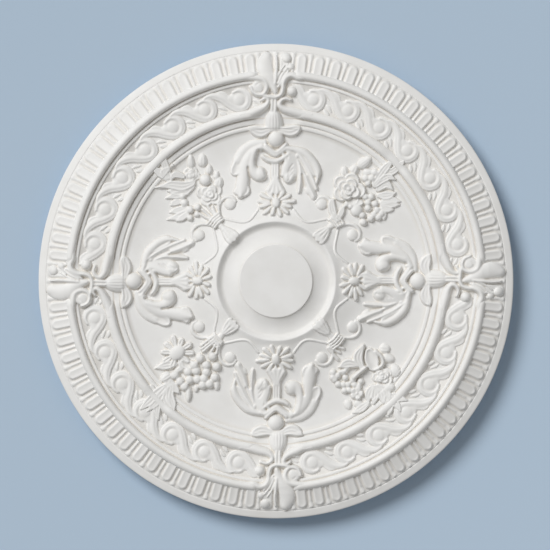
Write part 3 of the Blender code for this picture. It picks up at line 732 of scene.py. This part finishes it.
def bouquet_sw(relief):
    stroke, leaf = relief.stroke, "leaf"
    for path in (((148.5, 9.4, 2.2), (174.1, 12.6, 2.4)), ((148.5, 4.6, 2.2), (177.3, 7.8, 2.4)),
                 ((149.3, 0.6, 2.2), (178.9, 3.0, 2.4)),
                 ((150.5, -3.0, 2.2), (172.5, -8.2, 2.6)), ((150.1, -6.6, 2.2), (164.5, -16.1, 2.6))):
        stroke("round", 3, 7, *path)
    stroke(leaf, 2, 8, (229.9, 22.2, 5), (242.7, 31.7, 8), (260.2, 42.1, 1))
    stroke(leaf, 2, 8, (268.2, 6.2, 6), (288.9, 7.8, 9), (309.7, 7.8, 8), (328.4, 9.0, 3))
    stroke(leaf, 2, 8, (269.8, 4.6, 5), (288.1, 0.6, 7), (305.7, -2.6, 6), (325.6, -1.8, 1.5))
    stroke(leaf, 2, 8, (263.4, -1.8, 5), (275.4, -10.5, 8), (281.8, -23.3, 7), (288.1, -34.5, 1.5))
    stroke(leaf, 2, 8, (268.2, -0.2, 5), (282.6, -8.2, 7), (288.9, -20.9, 5), (291.3, -29.7, 1.5))
    stroke(leaf, 1, 8, (292.9, -4.2, 5), (308.1, -11.3, 7), (319.3, -25.7, 2))
    stroke(leaf, 1, 8, (290.5, 12.6, 4), (288.1, 23.0, 5), (292.1, 23.8, 1.5))
    stroke(leaf, 2, 8, (257.0, 4.6, 5), (260.2, -8.2, 7), (261.0, -18.5, 2))
    stroke(leaf, 2, 7, (263.4, 11.0, 4), (265.8, 2.2, 6), (273.0, -8.2, 2))
    relief.bud(257.8, 16.6, 24, 20, 10, 11, 3)
    relief.bud(230.7, 10.2, 20, 15, 20, 9, 2)
    relief.bud(250.6, -32.1, 29, 12, -45, 9, 0)
    relief.bud(233.9, -34.5, 15, 10, -45, 7, 0)
    relief.bud(204.4, -56.0, 20, 12, -50, 8, 0)
    for spot in ((191.6, -1.8), (173.3, -15.3), (192.4, -18.5), (181.2, -32.9), (223.1, -3.8), (212.4, -12.9),
                 (201.2, -27.3), (197.2, -44.1), (212.4, -32.1), (231.1, -15.7), (245.1, -5.8), (221.1, -24.9),
                 (221.5, -38.1), (211.6, -45.6), (245.9, -17.7), (207.6, -3.4), (243.5, 8.6)):
        relief.berry(*spot, 8.2, 10, 3)
    stroke("cup", 3, 9, (218.7, 12.6, 7), (214.8, 5.4, 8.5), (210.0, 2.2, 6))
    relief.daisy(212.8, 33.7, 29, 10, 13, 1.0, 0.42, 0.3)


def bouquet_se(relief):
    stroke, leaf = relief.stroke, "leaf"
    for path in (((148.8, 15.6, 2.6), (168.9, 9.9, 3)), ((148.8, 18.5, 2.4), (175.3, 20.7, 3)),
                 ((146.6, 12.1, 2.4), (168.9, -0.1, 3))):
        stroke("round", 2, 5, *path)
    stroke(leaf, 4, 10, (206.9, 3.4, 4), (193.3, 12.8, 8.6), (186.8, 27.9, 2))
    stroke("round", 4, 7, (196.9, 16.4, 4), (198.3, 26.4, 4.6), (193.3, 34.3, 3))
    for spot in ((197.6, 30.0), (186.1, 42.9), (195.4, 40.8), (207.6, 34.3), (196.9, 49.4), (214.1, 45.1),
                 (206.9, 50.8), (227.7, 44.4), (227.7, 31.4), (234.9, 28.6), (219.8, 27.9), (191.8, 48.7),
                 (219.8, 39.3), (222.7, 50.8), (231.3, 19.2)):
        relief.berry(*spot, 6.0, 8, 3)
    stroke(leaf, 2, 8, (252.9, 12.1, 5), (257.2, 25.0, 7.5), (267.9, 37.2, 1.5))
    stroke(leaf, 2, 8, (256.5, 8.5, 5), (267.2, 19.2, 7.5), (275.8, 32.2, 1.5))
    stroke(leaf, 2, 8, (258.6, 6.3, 5), (273.7, 9.9, 8), (287.3, 19.2, 1.5))
    stroke(leaf, 2, 8, (260.1, 3.4, 5), (275.8, 0.6, 8), (287.3, 3.4, 2))
    stroke(leaf, 1, 7, (267.2, 37.9, 5), (265.8, 53.7, 7), (260.8, 68.8, 2))
    stroke(leaf, 1, 8, (284.5, 3.4, 6), (296.7, -5.9, 8), (313.5, -14.9, 2))
    stroke(leaf, 1, 8, (283.7, 7.0, 6), (298.1, 14.2, 8), (308.2, 27.1, 2))
    stroke(leaf, 1, 8, (288.8, 4.9, 5), (304.6, 3.4, 7), (318.2, 7.0, 2))
    relief.bud(221.3, -51.1, 20, 19, -40, 8, 2)
    relief.bud(237.1, -43.9, 24, 17, -30, 9, 4)
    relief.bud(261.5, -36.8, 19, 24, -45, 9, 0)
    relief.bud(274.4, -9.5, 21, 20, -45, 10, 0)
    relief.flower(241.4, 39.3, 12, 5, 9, 1.0, 0.1, 3)
    relief.bud(256.5, 50.1, 18, 16, 0, 6, 0)
    relief.bud(245.0, 64.5, 18, 15, 30, 6, 0)
    relief.rose(252.9, -13.8, 17, 14, 1.0, 1.0)
    stroke("cup", 3, 10, (206.2, -27.4, 8), (217.7, -21.7, 13), (228.5, -15.2, 9))
    stroke("round", 5, 9, (212.7, -36.8, 3), (227.0, -36.8, 3.6), (237.1, -29.6, 3.6), (237.1, -18.1, 3))
    stroke(leaf, 5, 10, (215.5, 0.6, 5), (197.6, -7.3, 9), (189.7, -28.1, 3))
    stroke("round", 6, 9, (219.8, -3.7, 3.4), (218.4, 9.2, 4), (217.7, 21.4, 4.6), (218.0, 23.9, 4))


BOUQUETS = {"ne": (45, bouquet_ne), "se": (135, bouquet_se), "sw": (225, bouquet_sw), "nw": (315, bouquet_nw)}


def axis_ornament(name, angle):
    relief, x, y = patch(angle, *AXIS_GRID)
    crossing_bud(relief)
    acanthus(relief)
    relief.rise *= ORNAMENT_SHARE
    plume(relief)
    return sheet(name, relief, x, y, 3)


def bouquet(name, angle, carve):
    relief, x, y = patch(angle, *BOUQUET_GRID)
    thin_ribs(relief)
    tie(relief)
    carve(relief)
    relief.rise *= ORNAMENT_SHARE
    return sheet(name, relief, x, y, 2)


# Finish, stage, light and camera

def link(tree, source, output, target, entry):
    tree.links.new(source.outputs[output], target.inputs[entry])


def noise(tree, place, scale, detail):
    """Noise over a piece's own coordinates."""
    made = tree.nodes.new("ShaderNodeTexNoise")
    made.inputs["Scale"].default_value = scale
    made.inputs["Detail"].default_value = detail
    link(tree, place, "Object", made, "Vector")
    return made


def primer():
    """Matte off-white primer with faint mottling and the fine grain of a sprayed coat, and painted shade: a warmer,
    darker colour mixed into the hollows.
    """
    material = bpy.data.materials.new("white_casting")
    material.use_nodes = True
    tree = material.node_tree
    shader = tree.nodes["Principled BSDF"]
    shader.inputs["Specular IOR Level"].default_value = 0.38
    place = tree.nodes.new("ShaderNodeTexCoord")
    broad = noise(tree, place, 26.0, 4.0)
    tone = tree.nodes.new("ShaderNodeValToRGB")
    tone.color_ramp.elements[0].color = (0.835, 0.828, 0.808, 1)
    tone.color_ramp.elements[1].color = (0.875, 0.870, 0.855, 1)
    tone.color_ramp.elements[0].position = 0.35
    tone.color_ramp.elements[1].position = 0.65
    link(tree, broad, "Fac", tone, "Fac")
    # Painted shade: each corner's share darkens and warms the colour in the hollows
    painted_shade = tree.nodes.new("ShaderNodeAttribute")
    painted_shade.attribute_name = "painted_shade"
    hollow = tree.nodes.new("ShaderNodeMix")
    hollow.data_type = "RGBA"
    link(tree, painted_shade, "Fac", hollow, MIX_FACTOR)
    link(tree, tone, "Color", hollow, MIX_FIRST)
    # The colour of the shade painted into the hollows
    hollow.inputs[MIX_SECOND].default_value = (0.755, 0.72, 0.665, 1)
    link(tree, hollow, MIX_RESULT, shader, "Base Color")
    sheen = noise(tree, place, 90.0, 2.0)
    rough = tree.nodes.new("ShaderNodeMapRange")
    rough.inputs["To Min"].default_value = 0.50
    rough.inputs["To Max"].default_value = 0.66
    link(tree, sheen, "Fac", rough, "Value")
    link(tree, rough, "Result", shader, "Roughness")
    grain = noise(tree, place, 900.0, 3.0)
    bump = tree.nodes.new("ShaderNodeBump")
    bump.inputs["Strength"].default_value = 0.12
    bump.inputs["Distance"].default_value = 0.0003
    link(tree, grain, "Fac", bump, "Height")
    link(tree, bump, "Normal", shader, "Normal")
    return material


def plain(name, colour):
    material = bpy.data.materials.new(name)
    material.use_nodes = True
    shader = material.node_tree.nodes["Principled BSDF"]
    shader.inputs["Base Color"].default_value = (*colour, 1)
    shader.inputs["Roughness"].default_value = 0.9
    shader.inputs["Specular IOR Level"].default_value = 0.1
    return material


def stage_panel():
    """A square panel just behind the rose, with a round opening that leaves its back in view and a collar to it."""
    half, count = 0.545, 96
    wall, opening = 0.407, 0.404
    front, back, collar = 0.026, 0.030, 0.001
    section = ((wall, front), (None, front), (None, back), (opening, back), (opening, collar), (wall, collar))
    corners, faces = [], []
    for ring in range(count):
        turn = 2 * math.pi * ring / count
        x, y = math.sin(turn), math.cos(turn)
        after = (ring + 1) % count
        for side, (reach, level) in enumerate(section):
            reach = reach or half / max(abs(x), abs(y))
            corners.append((reach * x, reach * y, level))
            near, far = len(section) * ring, len(section) * after
            other = (side + 1) % len(section)
            faces.append((near + side, near + other, far + other, far + side))
    mesh = bpy.data.meshes.new("backdrop_panel")
    mesh.from_pydata(corners, [], faces)
    panel = bpy.data.objects.new("backdrop_panel", mesh)
    bpy.context.scene.collection.objects.link(panel)
    panel.data.materials.append(plain("backdrop_blue_grey", (0.470, 0.585, 0.710)))


def floor():
    side, level = 60.0, -13.5
    mesh = bpy.data.meshes.new("floor")
    corners = [(-side, -side, level), (side, -side, level), (side, side, level), (-side, side, level)]
    mesh.from_pydata(corners, [], [(0, 1, 2, 3)])
    made = bpy.data.objects.new("floor", mesh)
    bpy.context.scene.collection.objects.link(made)
    made.data.materials.append(plain("floor_pale", (0.72, 0.72, 0.72)))
    made.visible_shadow = False


def shine(name, kind, place, strength, spread, colour):
    """A light at a place, turned towards the rose. Its spread is a sun's angle in degrees or a disk's size."""
    lamp = bpy.data.lights.new(name, kind)
    lamp.energy = strength
    lamp.color = colour
    if kind == "SUN":
        lamp.angle = math.radians(spread)
    else:
        lamp.shape = "DISK"
        lamp.size = spread
    made = bpy.data.objects.new(name, lamp)
    made.location = place
    made.rotation_euler = Vector(place).to_track_quat("Z", "Y").to_euler()
    made.visible_camera = False
    bpy.context.scene.collection.objects.link(made)


def light():
    shine("key", "SUN", (-1.447, -1.447, -2.194), 2.3, 30, (1, 1, 1))
    shine("fill", "AREA", (1.7, 1.2, -1.9), 3.0, 2.0, WARM_WHITE)
    shine("top", "AREA", (0.8, -1.4, 2.4), 24.0, 1.6, (1, 1, 1))
    world = bpy.data.worlds.new("studio")
    bpy.context.scene.world = world
    world.use_nodes = True
    world.node_tree.nodes["Background"].inputs["Color"].default_value = (*WARM_WHITE, 1)
    world.node_tree.nodes["Background"].inputs["Strength"].default_value = 0.36


def camera():
    """Looks up at the face from far off, and frames a width at its distance as in the photograph."""
    distance, width, sensor = 12.0, 0.974, 36.0
    lens = bpy.data.cameras.new("camera")
    lens.sensor_width = sensor
    lens.lens = sensor * distance / width
    lens.clip_end = 100
    made = bpy.data.objects.new("camera", lens)
    made.location = (-0.0017, -0.0107, -distance)
    made.rotation_euler = (math.pi, 0, 0)
    bpy.context.scene.collection.objects.link(made)
    bpy.context.scene.camera = made


def main():
    half = FLUTES // 2
    pieces = [turned_face(), flute_ring("flutes_1", 0, half), flute_ring("flutes_2", half, half)]
    pieces += [scroll_band(f"scrolls_{name}", angle) for name, (angle, _) in BOUQUETS.items()]
    pieces += [axis_ornament(f"axis_ornament_{name}", angle) for name, angle in AXES.items()]
    pieces += [bouquet(f"bouquet_{name}", angle, carve) for name, (angle, carve) in BOUQUETS.items()]
    finish = primer()
    for piece in pieces:
        piece.data.materials.append(finish)
        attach(piece, "root")
        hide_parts("ceiling_rose")
    stage_panel()
    floor()
    light()
    camera()
    bpy.context.scene.view_settings.view_transform = "Standard"


main()
